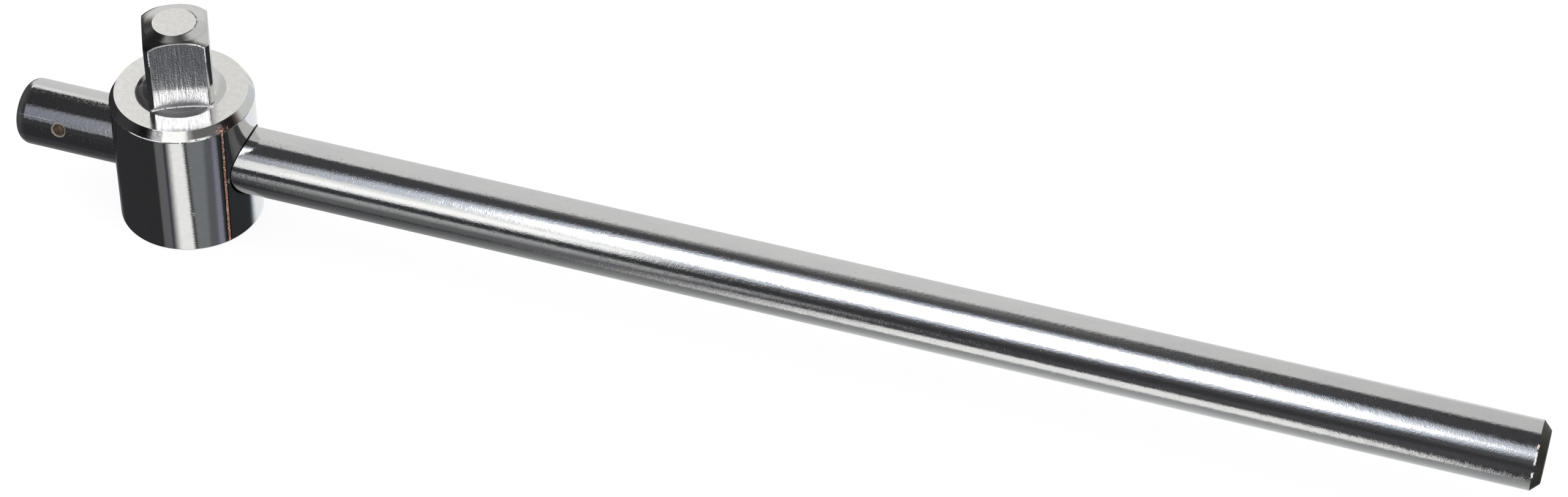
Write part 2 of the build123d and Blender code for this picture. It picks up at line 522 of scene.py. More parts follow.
def head_patterns(g, head):
    """The noises of the head's relief, colour and roughness."""
    return SimpleNamespace(
        coarse_grind=g.noise(head.place, *COARSE_GRIND, turn=DRIVE_TURN),
        fine_grind=g.noise(head.place, *FINE_GRIND, turn=DRIVE_TURN),
        scales=g.noise(head.place, *SCALES),
        ripple=g.noise(head.place, *RIPPLE),
        turning=g.noise(head.place, *TURNING),
        grain=g.noise(head.place, *GRAIN),
        mottle=g.noise(head.place, *MOTTLE),
        brushed=g.noise(head.place, *BRUSHED, turn=BRUSHED_TURN),
    )


def head_normal(g, head, patterns, nicks):
    """Relief: grinding runs up the flats, and turning marks run round the head."""
    grind = g.add(
        g.times(patterns.coarse_grind, COARSE_GRIND_DEPTH),
        g.times(patterns.fine_grind, FINE_GRIND_DEPTH),
        g.times(patterns.scales, FLAT_SCALES_DEPTH),
    )
    side_relief = g.add(
        g.times(patterns.ripple, RIPPLE_DEPTH),
        g.times(patterns.turning, TURNING_DEPTH),
        g.times(patterns.grain, SIDE_GRAIN_DEPTH),
    )
    top_relief = g.add(g.times(patterns.grain, TOP_GRAIN_DEPTH), g.times(patterns.mottle, TOP_MOTTLE_DEPTH))
    plate = g.add(
        g.times(head.side, side_relief),
        g.times(g.less(head.side), top_relief),
        g.times(head.crown, patterns.brushed, BRUSHED_DEPTH),
        g.times(head.shaded, patterns.scales, COLLAR_SCALES_DEPTH),
    )
    blended = g.mixed("VECTOR", head.flat, g.bump(plate, 1.0), g.bump(grind, 1.0))

    lean = g.times(
        head.flat, g.past(head.z, *FLAT_LEAN_HEIGHT), g.before(head.along, *FRONT_HALF), FLAT_LEAN
    )
    outward = g.times(head.collar, g.before(head.radius, *COLLAR_LEAN_RING), COLLAR_LEAN)
    lift = g.node("ShaderNodeCombineXYZ", {
        "X": g.add(g.times(lean, cos(radians(DRIVE_TURN))), g.times(head.x, outward)),
        "Y": g.add(g.times(lean, sin(radians(DRIVE_TURN))), g.times(head.y, outward)),
        "Z": g.times(head.worn, head.side, WORN_LEAN),
    }).outputs[0]
    return g.bump(g.less(nicks), NICK_DEPTH, g.vector("ADD", blended, lift))


# Colours of the head. Where there are two, a noise mixes them.
PLATE = ((0.8, 0.8, 0.79), (0.765, 0.767, 0.765))
# The level top faces get a paler, warmer plate than the side: painted light on the top
PAINTED_LIT_TOP_PLATE = ((0.97, 0.965, 0.94), (0.88, 0.87, 0.84))
TOP_RANGE = (0.3, 0.65)
GROUND_FLAT = ((0.74, 0.74, 0.76), (0.52, 0.52, 0.54))
SHADED_COLLAR = (0.3, 0.3, 0.3)
# Painted shade: the crown is darker across its front
CROWN_FRONT_PAINTED_SHADE = (0.36, 0.36, 0.35)
CROWN_SHADE_AROUND = (-30, 50, 24)
# Painted highlights along the front flat's foot and brow and on the bevel's lip, white and hardly metallic
PAINTED_FLAT_HIGHLIGHT = (1.0, 1.0, 0.99)
PAINTED_LIP_HIGHLIGHT = (0.98, 0.98, 0.98)
DARK_TIP_BURR = (0.06, 0.055, 0.05)
DULL_BEVEL = (0.3, 0.3, 0.31)
BRONZED_BEVEL = (0.2, 0.15, 0.13)
NICK_SHADE = (0.07, 0.065, 0.06)
# Painted shade inside the bar's bore and in a dark ring round the bar where it enters the head
BORE_PAINTED_SHADE = (0.035, 0.034, 0.033)
LINE_EDGING = (0.22, 0.2, 0.2)
COPPER_BROWNS = ((0.46, 0.2, 0.14), (0.2, 0.075, 0.05))
COPPER_HEIGHTS = (-22, -8)
COPPER_FLECK = (1.0, 0.66, 0.52)
FLECKS = ((2.8, 2, 0.6), 0.5, 0.62)
BRONZE_SHARE = 0.9
NICK_SHARE = 0.9
TIP_BURR_SHARE = 0.85

# Roughness of the head, where a noise runs between two values, and how metallic its marks are
SIDE_ROUGHNESS = (0.055, 0.085)
TOP_ROUGHNESS = (0.1, 0.15)
CROWN_ROUGHNESS = 0.11
WORN_ROUGHNESS = 0.36
FLAT_ROUGHNESS = (0.12, 0.24)
COPPER_ROUGHNESS = 0.42
NICK_METALLIC = 0.3
COPPER_METALLIC = 0.45
HIGHLIGHT_METALLIC = 0.15


def head_colour(g, head, patterns, marks):
    """The plate's colours, with those of its marks, a painted light on the top, painted shade and painted
    highlights laid over them.
    """
    plate = g.tint(g.rise(patterns.mottle, *MIDDLE), *PLATE)
    pale = g.tint(g.rise(patterns.mottle, *TOP_RANGE), *PAINTED_LIT_TOP_PLATE)
    ground = g.tint(g.rise(patterns.fine_grind, *MIDDLE), *GROUND_FLAT)
    brown = g.tint(g.rise(head.z, *COPPER_HEIGHTS), *COPPER_BROWNS)
    rust = g.tint(g.patches(head.place, *FLECKS), brown, COPPER_FLECK)
    shaded_crown_front = g.times(head.crown, g.band(head.around, *CROWN_SHADE_AROUND))
    return g.tints(
        plate,
        (head.top, pale),
        (head.flat, ground),
        (head.shaded, SHADED_COLLAR),
        (marks.painted_flat_highlight, PAINTED_FLAT_HIGHLIGHT),
        (marks.dull, DULL_BEVEL),
        (shaded_crown_front, CROWN_FRONT_PAINTED_SHADE),
        (g.times(marks.bronze, BRONZE_SHARE), BRONZED_BEVEL),
        (marks.edging, LINE_EDGING),
        (g.times(marks.nicks, NICK_SHARE), NICK_SHADE),
        (marks.copper, rust),
        (g.times(marks.tip_burr, TIP_BURR_SHARE), DARK_TIP_BURR),
        (marks.lip, PAINTED_LIP_HIGHLIGHT),
        (head.bore, BORE_PAINTED_SHADE),
    )


def head_chrome():
    """Polished chrome on the turned head, satin on its top and crown, and ground flats on the drive."""
    material, g = new_material("head_chrome")
    head = Head(g)
    patterns = head_patterns(g, head)
    marks = head_marks(g, head)
    rough = g.mixes(
        g.rise(patterns.mottle, *WIDE, *SIDE_ROUGHNESS),
        (head.top, g.rise(patterns.mottle, *WIDE, *TOP_ROUGHNESS)),
        (head.crown, CROWN_ROUGHNESS),
        (g.most(head.worn, head.shaded), WORN_ROUGHNESS),
        (head.flat, g.rise(patterns.fine_grind, *WIDE, *FLAT_ROUGHNESS)),
        (g.most(marks.copper, head.bore), COPPER_ROUGHNESS),
    )
    # Painted highlights are hardly metallic, so they show white
    metallic = g.times(
        g.mixes(1.0, (marks.nicks, NICK_METALLIC), (marks.copper, COPPER_METALLIC)),
        g.mix(g.most(marks.lip, marks.painted_flat_highlight), 1.0, HIGHLIGHT_METALLIC),
    )
    colour = head_colour(g, head, patterns, marks)
    metal(g, colour, rough, head_normal(g, head, patterns, marks.nicks), metallic)
    return material


# Patterns of the bar, and their depths in millimetres. It is smoother near its short end.
PEBBLES = ((1.3, 2.2, 2.2), 2, 0.55)
BAR_GRAIN = ((4.0, 5.0, 5.0), 2, 0.6)
DRAWN = ((0.05, 1.4, 1.4), 2, 0.5)
CLOUD = ((0.12, 0.3, 0.3), 3, 0.6)
GRAIN_PATCHES = (((0.5, 0.7, 0.7), 3, 0.6), 0.3, 0.7, 0.55, 1.3)
GRAIN_ALONG = (-20, 90, 0.35, 1.1)
PIT_COUNT = 0.55
PIT_STEP = (0.05, 0.16, 1.0, 0.0)
SPECK_COUNT = 1.3
SPECK_STEP = (0.06, 0.18, 1.0, 0.0)
PEBBLES_DEPTH = 0.011
BAR_GRAIN_DEPTH = 0.012
DRAWN_DEPTH = 0.006
PIT_DEPTH = 0.004
SPECK_HEIGHT = 0.007

# Ends of the bar: how much a face's normal points along it, the near end's rounded rim, and painted glints
# on the far bevel's edge with their turns up from the front
END_FACE = (0.5, 0.2)
FAR_SIDE = (0.0, 1.0)
RIM_WIDTH = 2.0
RIM_SOFT = 1.6
GLINT_TURNS = ((27, 48, 5), (3, 13, 4), (53, 60, 3))
GLINT_INNER = 1.5
GLINT_OUTER = 1.15
GLINT_SOFT = 0.1
GLINT_PATTERN = (3.0, 3)
GLINT_RAGGED = 0.6
COPPERY_GLINT_TURN = (50, 2)

# Staked mouths of the stop balls' bores, and one thin scratch near the near end
STAKED_RADIUS = (1.5, 0.2)
SCRATCH_TURN = 32.0
SCRATCH_HALF = (1.0, 0.6)
SCRATCH_ALONG = (BAR_NEAR + 1.6, BAR_NEAR + 8.8, 2.0)
SCRATCH_STEP = (0.25, 0.5, 0.5, 0.9)

# Colours, roughness and metallic shares of the bar
BAR_PLATE = ((0.775, 0.775, 0.77), (0.73, 0.735, 0.74))
BAR_PLATE_RANGE = (0.35, 0.7)
PIT_SHADE = (0.4, 0.4, 0.41)
PIT_SHARE = 0.25
STAKED_BROWNS = ((0.24, 0.22, 0.17), (0.4, 0.37, 0.3))
STAINED_END = ((0.028, 0.029, 0.024), (0.048, 0.042, 0.034))
GLINT_AND_SCRATCH_WHITE = (0.86, 0.87, 0.88)
COPPERY_GLINT = (0.9, 0.74, 0.66)
BAR_ROUGHNESS = (0.05, 0.08)
BARE_ROUGHNESS = 0.5
RIM_ROUGHNESS = 0.2
STAKED_METALLIC = 0.35
END_METALLIC = 0.2
SCRATCH_METALLIC = 0.82
RIM_METALLIC = 0.96


def stop_mouth(node):
    """Where a stop ball comes out of the bar, in millimetres."""
    low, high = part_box(node)
    middle = (low + high) / 2 / MM
    axis = Vector((middle.x, 0.0, BAR_HEIGHT))
    return axis + (middle - axis).normalized() * BAR_RADIUS


def bar_chrome():
    """Chrome over a bar that wasn't polished first, so it is pebbled. Its far end is bare and stained."""
    material, g = new_material("bar_chrome")
    place = g.place()
    x, y, z = g.parts(place)
    turn = g.turn(g.add(z, -BAR_HEIGHT), y)

    # Relief
    pebbles = g.noise(place, *PEBBLES)
    grain = g.noise(place, *BAR_GRAIN)
    drawn = g.noise(place, *DRAWN)
    cloud = g.noise(place, *CLOUD)
    pit = g.rise(g.cells(place, PIT_COUNT), *PIT_STEP)
    speck = g.rise(g.cells(place, SPECK_COUNT), *SPECK_STEP)
    relief = g.add(
        g.times(pebbles, PEBBLES_DEPTH),
        g.times(grain, g.rise(x, *GRAIN_ALONG), g.patches(place, *GRAIN_PATCHES), BAR_GRAIN_DEPTH),
        g.times(drawn, DRAWN_DEPTH),
        g.times(pit, -PIT_DEPTH),
        g.times(speck, SPECK_HEIGHT),
    )

    # Ends: bare and stained past the far bevel's edge, with a few painted glints on that edge
    end_face = g.times(g.past(g.absolute(g.normal()[0]), *END_FACE), g.past(x, *FAR_SIDE))
    rim = g.before(x, BAR_NEAR + RIM_WIDTH, RIM_SOFT)
    glinting_turns = g.most(*(g.band(turn, *turns) for turns in GLINT_TURNS))
    ragged = g.add(x, g.times(g.noise(place, *GLINT_PATTERN), GLINT_RAGGED))
    edge_glints = g.times(glinting_turns, g.band(ragged, BAR_FAR - GLINT_INNER, BAR_FAR - GLINT_OUTER, GLINT_SOFT))

    # Marks on the round side
    mouths = [g.distance(place, stop_mouth(node)) for node in ("near_stop_ball", "far_stop_ball")]
    rings = g.most(*(g.before(mouth, *STAKED_RADIUS) for mouth in mouths))
    off_scratch = g.absolute(g.add(turn, -SCRATCH_TURN, g.times(cloud, -1.0)))
    scratch = g.times(
        g.before(off_scratch, *SCRATCH_HALF), g.band(x, *SCRATCH_ALONG), g.rise(cloud, *SCRATCH_STEP)
    )

    # The far bevel's glints are painted highlights, white and coppery; the scratch is a real mark
    colour = g.tints(
        g.tint(g.rise(cloud, *BAR_PLATE_RANGE), *BAR_PLATE),
        (g.times(pit, PIT_SHARE), PIT_SHADE),
        (rings, g.tint(g.rise(grain, *MIDDLE), *STAKED_BROWNS)),
        (end_face, g.tint(g.rise(cloud, *MIDDLE), *STAINED_END)),
        (g.most(edge_glints, scratch), GLINT_AND_SCRATCH_WHITE),
        (g.times(edge_glints, g.past(turn, *COPPERY_GLINT_TURN)), COPPERY_GLINT),
    )
    rough = g.mixes(
        g.rise(cloud, *WIDE, *BAR_ROUGHNESS), (g.most(end_face, rings), BARE_ROUGHNESS), (rim, RIM_ROUGHNESS)
    )
    # The painted glints are not metallic, so they show white
    plated = g.times(
        g.mix(rings, 1.0, STAKED_METALLIC),
        g.mix(end_face, 1.0, END_METALLIC),
        g.less(edge_glints),
        g.mix(scratch, 1.0, SCRATCH_METALLIC),
        g.mix(rim, 1.0, RIM_METALLIC),
    )
    metal(g, colour, rough, g.bump(relief, 1.0), plated)
    return material


# Brown balls
BALL_BROWNS = ((0.05, 0.03, 0.02), (0.13, 0.08, 0.055))
BALL_CLOUD = (1.6, 4, 0.6)
BALL_GRIT = (7.0, 2)
BALL_GRIT_DEPTH = 0.01
BALL_ROUGHNESS = (0.45, 0.65)
BALL_METALLIC = 0.3

# Bare steels: colour, darker colour, marks per millimetre, roughness and the marks' depth. The marks of
# all of them have the same detail and roughness of noise.
STEELS = {
    "ball_steel": ((0.64, 0.64, 0.66), (0.58, 0.58, 0.6), (3, 3, 3), 0.12, 0.001),
    "spring_steel": ((0.46, 0.46, 0.48), (0.34, 0.34, 0.36), (6, 6, 6), 0.3, 0.003),
    "plug_steel": ((0.6, 0.6, 0.61), (0.52, 0.52, 0.53), (4, 0.4, 1), 0.25, 0.004),
}
STEEL_NODES = {
    "ball_steel": ("socket_ball", "friction_ball"),
    "spring_steel": ("socket_ball_spring", "friction_spring", "near_stop_spring", "far_stop_spring"),
    "plug_steel": ("spring_plug",),
}
STEEL_CLOUD = (0.8, 3)
STEEL_MARKS = (3, 0.6)
STEEL_ROUGHNESS_SHARES = (0.8, 1.3)


def stained_ball():
    """Bare steel gone brown."""
    material, g = new_material("stained_ball")
    place = g.place()
    cloud = g.noise(place, *BALL_CLOUD)
    colour = g.tint(g.rise(cloud, *MIDDLE), *BALL_BROWNS)
    relief = g.bump(g.noise(place, *BALL_GRIT), BALL_GRIT_DEPTH)
    metal(g, colour, g.rise(cloud, *WIDE, *BALL_ROUGHNESS), relief, BALL_METALLIC)
    return material


def bare_steel(name, colour, darker, counts, roughness, depth):
    """Steel with fine marks, counts of them per millimetre along each axis."""
    material, g = new_material(name)
    place = g.place()
    marks = g.noise(place, counts, *STEEL_MARKS)
    mixed = g.tint(g.patches(place, STEEL_CLOUD, *WIDE), colour, darker)
    smooth, coarse = (roughness * share for share in STEEL_ROUGHNESS_SHARES)
    metal(g, mixed, g.rise(marks, *WIDE, smooth, coarse), g.bump(marks, depth))
    return material


def dress(material, *nodes):
    """Gives CAD nodes a material in all their slots."""
    for name in nodes:
        mesh = frame["nodes"][name].data
        if not mesh.materials:
            mesh.materials.append(material)
        for index in range(len(mesh.materials)):
            mesh.materials[index] = material


def coil(joint, node):
    """The CAD spring's wire as a piece of its own on the joint's parent body, with the CAD node hidden."""
    mesh = frame["nodes"][node].data.copy()
    made = bpy.data.objects.new(node.replace("spring", "coil"), mesh)
    bpy.context.scene.collection.objects.link(made)
    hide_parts(node)
    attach(made, joint["parent"])
    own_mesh(made)


# Studio. Only the chrome sees the cards.

UNSEEN_BY = ("camera", "diffuse", "transmission", "volume_scatter", "shadow")
ONE_FACE = [(0, 1, 2, 3)]


def sheet(name, points, faces, material):
    """A stage piece of flat faces, in millimetres."""
    mesh = bpy.data.meshes.new(name)
    mesh.from_pydata([Vector(point) * MM for point in points], [], faces)
    mesh.materials.append(material)
    made = bpy.data.objects.new(name, mesh)
    bpy.context.scene.collection.objects.link(made)
    return made


def card(name, points, faces, shade):
    """A card for the chrome alone. shade(graph, place) gives its glow and how much it covers."""
    material, g = new_material(name)
    colour, cover = shade(g, g.place())
    glow = g.node("ShaderNodeEmission", {"Color": colour})
    clear = g.node("ShaderNodeBsdfTransparent")
    both = g.node("ShaderNodeMixShader", {0: cover, 1: clear.outputs[0], 2: glow.outputs[0]})
    g.node("ShaderNodeOutputMaterial", {"Surface": both.outputs[0]})
    made = sheet(name, points, faces, material)
    for kind in UNSEEN_BY:
        setattr(made, "visible_" + kind, False)


def square(reach, height):
    """The corners of a level square."""
    return [(x * reach, y * reach, height) for x, y in ((-1, -1), (1, -1), (1, 1), (-1, 1))]


# Floor that the tool stands on
FLOOR_REACH = 6000
FLOOR_PAPER = (0.2, 0.2, 0.2)
FLOOR_GLOW = (0.86, 0.86, 0.86)


def white_floor():
    """Glowing paper, which the chrome doesn't see."""
    material, g = new_material("floor_white")
    paper = g.node("ShaderNodeBsdfDiffuse", {"Color": FLOOR_PAPER})
    glow = g.node("ShaderNodeEmission", {"Color": FLOOR_GLOW})
    both = g.node("ShaderNodeAddShader", {0: paper.outputs[0], 1: glow.outputs[0]})
    g.node("ShaderNodeOutputMaterial", {"Surface": both.outputs[0]})
    sheet("floor", square(FLOOR_REACH, FLOOR), ONE_FACE, material).visible_glossy = False


# White board below and in front. Its near and far edges are places on the level of the base, as the
# tool sees them.
BASE_DEPTH = 400
BOARD_X = (-160, 340)
BOARD_Y = (-1050, -180)
BOARD_START = -22
BOARD_LEAN = 0.386
BOARD_LEFT = (480, 680, BOARD_START + 10, BOARD_START + 60)
BOARD_LEFT_SOFT = 120
BOARD_RIGHT = ((290, 400, 244, 222), (440, 600, 0, -57))
BOARD_RIGHT_SOFT = 50
BOARD_NEAR = (262, 60)
BOARD_FAR = (632, 130)
BOARD_GLOW = (0.98, 0.98, 0.965)


def board_points():
    """The board leans away to the right."""
    left, right = BOARD_X
    near, far = BOARD_Y
    corners = ((left, near), (right, near), (right, far), (left, far))
    return [(x, y, -BASE_DEPTH - BOARD_LEAN * (x - BOARD_START)) for x, y in corners]


def board_shade(g, place):
    """White, with soft edges and a rounded right corner."""
    x, y, z = g.parts(place)
    front = g.over(g.times(y, BASE_DEPTH), z)
    left = g.rise(front, *BOARD_LEFT)
    right = g.add(*g.steps(front, BOARD_RIGHT))
    cover = g.times(
        g.past(x, left, BOARD_LEFT_SOFT), g.before(x, right, BOARD_RIGHT_SOFT),
        g.past(front, *BOARD_NEAR), g.before(front, *BOARD_FAR),
    )
    return BOARD_GLOW, cover


# Base card, far below the tool
BASE_REACH = 3600
BASE_DROP = 150
BASE_GLOW = 0.032

# Grey strip that leads away to the front left: its middle and its half width, and how they change per
# millimetre further to the front than its start
STRIP_START = 440
STRIP_MIDDLE = -140
STRIP_DRIFT = -0.24
STRIP_HALF = 60
STRIP_SPREAD = 0.11
STRIP_EDGE = (1.0, 0.4)
STRIP_GLOW = (330, 1300, 0.09, 0.38)
STRIP_NEAR = (300, 120)
STRIP_END = (1500, 2400, 1.0, 0.3)

# Floor under the bar, which is lit more to the right and to the back, and faint light far ahead
UNDER_RIGHT = (-188, 110)
UNDER_LEFT_GLOW = (-140, 330, 0.02, 0.21)
UNDER_RIGHT_GLOW = (-260, 380, 0.31, 0.83)
UNDER_FALL = (60, 250, 1.0, 0.76)
UNDER_FRONT = (250, 60)
UNDER_START = (-330, 160)
UNDER_END = (300, 90)
FAINT_X = (-110, 190, 60)
FAINT_FRONT = (600, 60)
FAINT_GLOW = 0.045

# Grey to the right of the board, with a darker gap across it, and the white floor behind
GREY_START = (215, 30)
GREY_END = (480, 60)
GREY_NEAR = (122, 20)
GREY_FAR = (560, 90)
GREY_GLOW = 0.17
GREY_SHARE = 1.25
GREY_GAP = (192, 290, 30)
GREY_GAP_SHARE = 0.75
GREY_FRONT = (290, 30)
GREY_FRONT_SHARE = 0.25
BEHIND_RIGHT = (133, 14)
BEHIND_LEFT = (-148, 14)
BEHIND_START = (335, 100)
BEHIND_GLOW = (430, 900, 0.9, 0.65)

# Hues of the base: pale and dark parts, the right, and two lilac places as bands of x and front
DARK_GLOW = (0.1, 0.1)
BASE_HUES = ((0.99, 1.0, 1.01), (0.98, 0.985, 1.05))
BASE_RIGHT = (210, 30)
BASE_RIGHT_HUE = (0.96, 1.0, 1.04)
LILAC_RIGHT = ((330, 480, 40), (120, 195, 30))
LILAC_LEFT = ((-110, -30, 40), (380, 640, 60))
LILAC_LEFT_SHARE = 0.8
LILAC_HUE = (1.0, 0.94, 1.14)
BLACK = (0.0, 0.0, 0.0)


def grey_strip(g, x, front):
    """How bright the strip is, which grows wider and brighter as it leads away."""
    ahead = g.add(front, -STRIP_START)
    middle = g.add(STRIP_MIDDLE, g.times(ahead, STRIP_DRIFT))
    half = g.add(STRIP_HALF, g.times(ahead, STRIP_SPREAD))
    off = g.over(g.absolute(g.minus(x, middle)), half)
    return g.times(
        g.before(off, *STRIP_EDGE), g.rise(front, *STRIP_GLOW), g.past(front, *STRIP_NEAR),
        g.rise(front, *STRIP_END),
    )


def under_bar(g, x, y, front):
    """How bright the floor is below the bar."""
    glow = g.mix(g.rise(x, *UNDER_RIGHT), g.rise(y, *UNDER_LEFT_GLOW), g.rise(y, *UNDER_RIGHT_GLOW))
    return g.times(
        glow, g.rise(x, *UNDER_FALL), g.before(front, *UNDER_FRONT), g.before(x, *UNDER_END),
        g.past(x, *UNDER_START),
    )


def right_grey(g, x, front):
    """How bright it is to the right of the board."""
    grey = g.times(
        g.past(x, *GREY_START), g.before(x, *GREY_END), g.past(front, *GREY_NEAR), g.before(front, *GREY_FAR),
        GREY_GLOW,
    )
    return g.times(grey, g.add(
        GREY_SHARE,
        g.times(g.band(front, *GREY_GAP), -GREY_GAP_SHARE),
        g.times(g.past(front, *GREY_FRONT), -GREY_FRONT_SHARE),
    ))


def floor_behind(g, x, y):
    """How bright the floor is behind the tool."""
    around = g.turn(x, y)
    turned_back = g.most(g.past(around, *BEHIND_RIGHT), g.before(around, *BEHIND_LEFT))
    return g.times(g.past(y, *BEHIND_START), turned_back, g.rise(y, *BEHIND_GLOW))


def base_shade(g, place):
    """What lies far below the tool: a floor that is lit under the bar and behind, and dark elsewhere."""
    x, y, z = g.parts(place)
    scale = g.over(-BASE_DEPTH, z)
    x = g.times(x, scale)
    y = g.times(y, scale)
    front = g.times(y, -1.0)
    faint = g.times(g.band(x, *FAINT_X), g.past(front, *FAINT_FRONT), FAINT_GLOW)
    value = g.most(
        grey_strip(g, x, front), under_bar(g, x, y, front), faint, right_grey(g, x, front),
        floor_behind(g, x, y),
    )
    value = g.add(value, BASE_GLOW)

    colour = g.tint(value, BLACK, g.tint(g.before(value, *DARK_GLOW), *BASE_HUES))
    colour = g.tint(g.past(x, *BASE_RIGHT), colour, BASE_RIGHT_HUE, "MULTIPLY")
    right, left = (
        g.times(g.band(x, *across), g.band(front, *ahead)) for across, ahead in (LILAC_RIGHT, LILAC_LEFT)
    )
    lilac = g.add(right, g.times(left, LILAC_LEFT_SHARE))
    return g.tint(lilac, colour, LILAC_HUE, "MULTIPLY"), 1.0


# Softbox on a card bent round the bar, with its turns up from the front. Its round core is cut and its
# halo pinched on the right, and a wing leads away to the left.
KEY_DISTANCE = 500
KEY_REACH = 400
KEY_CARD_TURNS = range(4, 92, 4)
KEY_MIDDLE = 86
KEY_TURN = 48.5
KEY_RADIUS = 160
KEY_SOFT = (100, 220, 24, 60)
KEY_GLOW = (2.8, 2.8, 2.8)
CUT_X = (180, 262, 40)
CUT_RISE = (-60, 20)
CUT_DEPTH = 46
PINCH_X = (165, 250)
PINCH_START = (20, 60)
PINCH_DEPTH = 40
HALO_WIDTH = 82
HALO_SOFT = 96
HALO_GLOW = (0.66, 0.7, 0.785)
WING_X = (-196, -30, 26)
WING_TURNS = (9, 40, 8)
WING_GLOW = (0.94, 0.95, 0.94)


def key_points():
    """A bank bent round the bar, from low in front to nearly overhead."""
    points = []
    for turn in KEY_CARD_TURNS:
        front = -KEY_DISTANCE * cos(radians(turn))
        height = BAR_HEIGHT + KEY_DISTANCE * sin(radians(turn))
        points += [(-KEY_REACH, front, height), (KEY_REACH, front, height)]
    faces = [(2 * i, 2 * i + 1, 2 * i + 3, 2 * i + 2) for i in range(len(KEY_CARD_TURNS) - 1)]
    return points, faces


def key_shade(g, place):
    """A round softbox with a halo. Distances are measured on the bent card."""
    x, y, z = g.parts(place)
    turn = g.math("ARCTAN2", g.add(z, -BAR_HEIGHT), g.times(y, -1.0))
    along = g.times(g.add(turn, -radians(KEY_TURN)), KEY_DISTANCE)
    radius = g.diagonal(g.add(x, -KEY_MIDDLE), along)
    cut = g.times(g.band(x, *CUT_X), g.rise(along, *CUT_RISE), CUT_DEPTH)
    core = g.before(g.over(g.add(radius, cut, -KEY_RADIUS), g.rise(x, *KEY_SOFT)), 0.0, 1.0)
    pinched = g.times(g.rise(x, *PINCH_X), g.past(along, *PINCH_START), PINCH_DEPTH)
    halo = g.before(g.add(radius, pinched), KEY_RADIUS + HALO_WIDTH, HALO_SOFT)
    wing = g.times(g.band(x, *WING_X), g.band(turn, *map(radians, WING_TURNS)))
    return g.tint(core, g.tint(wing, HALO_GLOW, WING_GLOW), KEY_GLOW), g.most(halo, wing)


# Low white card in front of the head
FILL_FRONT = -120
FILL_X = (-60, 110)
FILL_Z = (-24, 86)
FILL_LEFT = (-23, 26)
FILL_RIGHT = (66, 20)
FILL_HEIGHTS = (20, 54, 12)
FILL_GLOW = (1.24, 1.24, 1.22)


def fill_points():
    """An upright card."""
    left, right = FILL_X
    low, high = FILL_Z
    return [(x, FILL_FRONT, z) for x, z in ((left, low), (right, low), (right, high), (left, high))]


def fill_shade(g, place):
    """White, with soft edges."""
    x, _, z = g.parts(place)
    return FILL_GLOW, g.times(g.past(x, *FILL_LEFT), g.before(x, *FILL_RIGHT), g.band(z, *FILL_HEIGHTS))


def studio():
    """The chrome sees the cards, and the camera sees the floor alone."""
    white_floor()
    card("base_card", square(BASE_REACH, -BASE_DEPTH - BASE_DROP), ONE_FACE, base_shade)
    card("white_board", board_points(), ONE_FACE, board_shade)
    card("key_softbox", *key_points(), key_shade)
    card("fill_card", fill_points(), ONE_FACE, fill_shade)


# Tent, with x and z as parts of a direction that is one long, and turns up from the front over the bar.
# Backdrop: its lower edge as a turn, its reach to the right and the left, its glow, and a brighter place
# that the short end of the bar shows.
BACK_EDGE = ((-0.31, -0.125, 104.5, 116), (-0.355, -0.375, 0, 22), (0.0, 0.4, 0, -8))
BACK_EDGE_SOFT = 9
BACK_RIGHT = (109, 16)
BACK_LEFT = (0.5, 0.85, -137, -119)
BACK_LEFT_SOFT = 9
BACK_GLOW = 0.7
BACK_STEPS = ((-0.16, -0.02, 0, -0.1), (0.1, 0.4, 0, 0.06))
BACK_STUB_X = (-0.37, -0.4)
BACK_STUB_TURNS = (123, 140, 10)
BACK_STUB_GLOW = 0.28

# Overhead
OVER_STEPS = (
    (-0.375, -0.355, 0.033, 0.06), (-0.3, -0.17, 0, 0.035), (-0.12, -0.03, 0, -0.06), (-0.1, 0.0, 0, 0.02),
    (0.05, 0.2, 0, 0.01),
)
OVER_X = (-0.28, -0.15, 0.1)
OVER_TURNS = (98, 112, 8)
OVER_GLOW = 0.12
OVER_START = (52, 68)

# Low in front: a panel on the left with a streak in it, and three glows by azimuth
LOW_GLOW = (0.08, 0.2, 0.045, 0.018)
ASIDE_LEFT = (0.3, 0.6, -27, -38)
ASIDE_LEFT_SOFT = 12
ASIDE_RIGHT = (-17, 12)
ASIDE_FOOT = (0.16, 0.06)
ASIDE_GLOW = 0.2
STREAK_X = (-0.381, -0.358, 0.004)
STREAK_GLOW = 0.13
FRONT_AROUND = (-17, 84, 8)
FRONT_FOOT = (0.14, 0.08)
FRONT_GLOW = 0.065
STRIPE_AROUND = (27, 37, 6)
STRIPE_GLOW = 0.26
RIGHT_AROUND = (38, 84, 6)
RIGHT_GLOW = 0.07

# Hues of the tent: pale and dark parts, and the panel where the short end of the bar shows it
TENT_HUES = ((1.0, 1.0, 0.99), (0.98, 0.985, 1.045))
BLUISH_X = (-0.37, 0.01)
BLUISH_TURN = (60, 8)
BLUISH_HUE = (1.04, 1.08, 1.3)


def backdrop(g, x, turn):
    """How bright the backdrop is."""
    glow = g.add(BACK_GLOW, *g.steps(x, BACK_STEPS))
    return g.add(glow, g.times(g.rise(x, *BACK_STUB_X), g.band(turn, *BACK_STUB_TURNS), BACK_STUB_GLOW))


def overhead(g, x, turn):
    """How bright it is over the bar."""
    patch = g.times(g.band(x, *OVER_X), g.band(turn, *OVER_TURNS), OVER_GLOW)
    return g.add(*g.steps(x, OVER_STEPS), patch)


def low_front(g, x, z, around, aside):
    """How bright it is low in front, aside being the panel on the left."""
    return g.add(
        g.rise(z, *LOW_GLOW),
        g.times(aside, g.add(ASIDE_GLOW, g.times(g.band(x, *STREAK_X), STREAK_GLOW))),
        g.times(g.band(around, *FRONT_AROUND), g.past(z, *FRONT_FOOT), FRONT_GLOW),
        g.times(g.band(around, *STRIPE_AROUND), STRIPE_GLOW),
        g.times(g.band(around, *RIGHT_AROUND), RIGHT_GLOW),
    )


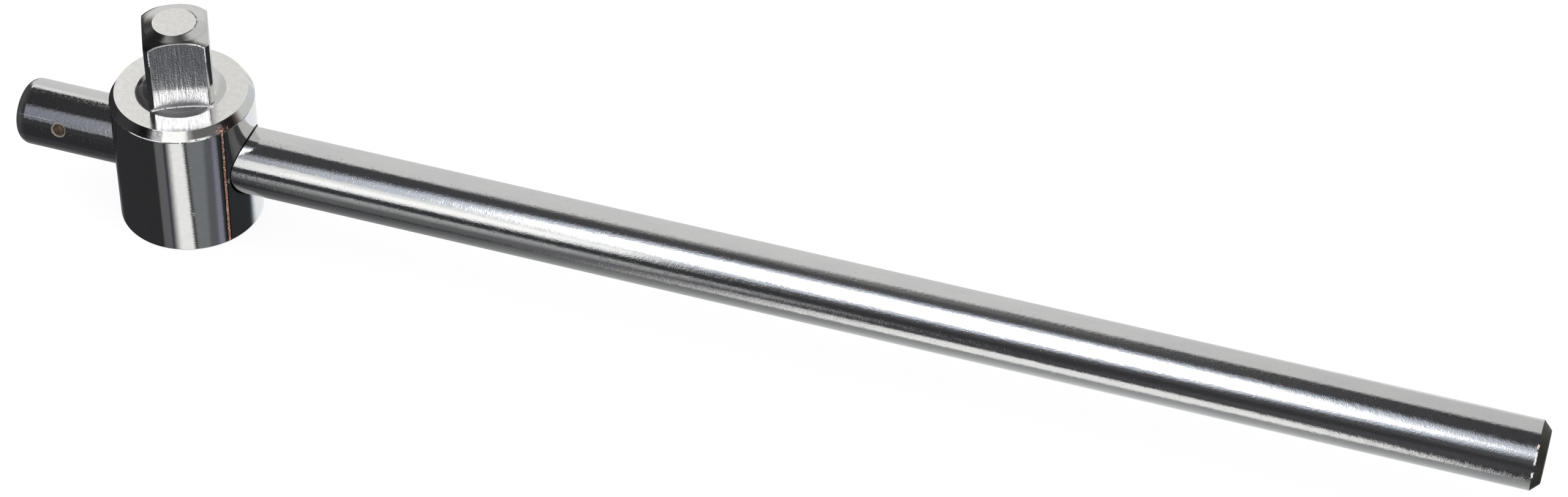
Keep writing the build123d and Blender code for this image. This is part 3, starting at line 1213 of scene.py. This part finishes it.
def tent():
    """Pale behind, and dark overhead and in front. All but the chrome sees plain white."""
    world = bpy.data.worlds.new("tent")
    world.use_nodes = True
    bpy.context.scene.world = world
    g = Graph(world.node_tree)
    x, y, z = g.parts(g.node("ShaderNodeTexCoord").outputs["Generated"])
    around = g.turn(x, y)
    turn = g.turn(g.absolute(z), y)

    edge = g.add(*g.steps(x, BACK_EDGE))
    sideways = g.most(
        g.past(around, *BACK_RIGHT), g.before(around, g.rise(z, *BACK_LEFT), BACK_LEFT_SOFT)
    )
    pale = g.times(g.past(turn, edge, BACK_EDGE_SOFT), sideways)
    aside = g.times(
        g.past(around, g.rise(z, *ASIDE_LEFT), ASIDE_LEFT_SOFT), g.before(around, *ASIDE_RIGHT),
        g.past(z, *ASIDE_FOOT),
    )
    dark = g.mix(g.rise(turn, *OVER_START), low_front(g, x, z, around, aside), overhead(g, x, turn))
    value = g.mix(pale, dark, backdrop(g, x, turn))

    seen = g.node("ShaderNodeLightPath").outputs["Is Glossy Ray"]
    light = g.mix(seen, 1.0, value)
    bluish = g.times(aside, g.before(x, *BLUISH_X), g.before(turn, *BLUISH_TURN), seen)
    hue = g.tint(g.times(g.before(value, *DARK_GLOW), seen), *TENT_HUES)
    hue = g.tint(bluish, hue, BLUISH_HUE)
    sky = g.node("ShaderNodeBackground", {"Color": g.tint(light, BLACK, hue)})
    g.node("ShaderNodeOutputWorld", {"Surface": sky.outputs[0]})


def camera():
    """Where the photograph was taken from."""
    right = Vector(CAMERA_RIGHT)
    up = -Vector(CAMERA_DOWN)
    data = bpy.data.cameras.new("camera")
    data.sensor_width = CAMERA_SENSOR
    data.lens = CAMERA_LENS
    data.clip_start, data.clip_end = CAMERA_CLIP
    made = bpy.data.objects.new("camera", data)
    bpy.context.scene.collection.objects.link(made)
    turned = Matrix((right, up, right.cross(up))).transposed().to_4x4()
    made.matrix_world = Matrix.Translation(Vector(CAMERA_PLACE) * MM) @ turned
    bpy.context.scene.camera = made


# Pieces

dress(head_chrome(), "drive_head")
dress(bar_chrome(), "slide_bar")
dress(stained_ball(), "near_stop_ball", "far_stop_ball")
for name, look in STEELS.items():
    dress(bare_steel(name, *look), *STEEL_NODES[name])
for joint in frame["joints"]:
    for spring in joint.get("deforming_nodes", []):
        coil(joint, spring["node"])
studio()
tent()
camera()
bpy.context.scene.view_settings.view_transform = "Standard"
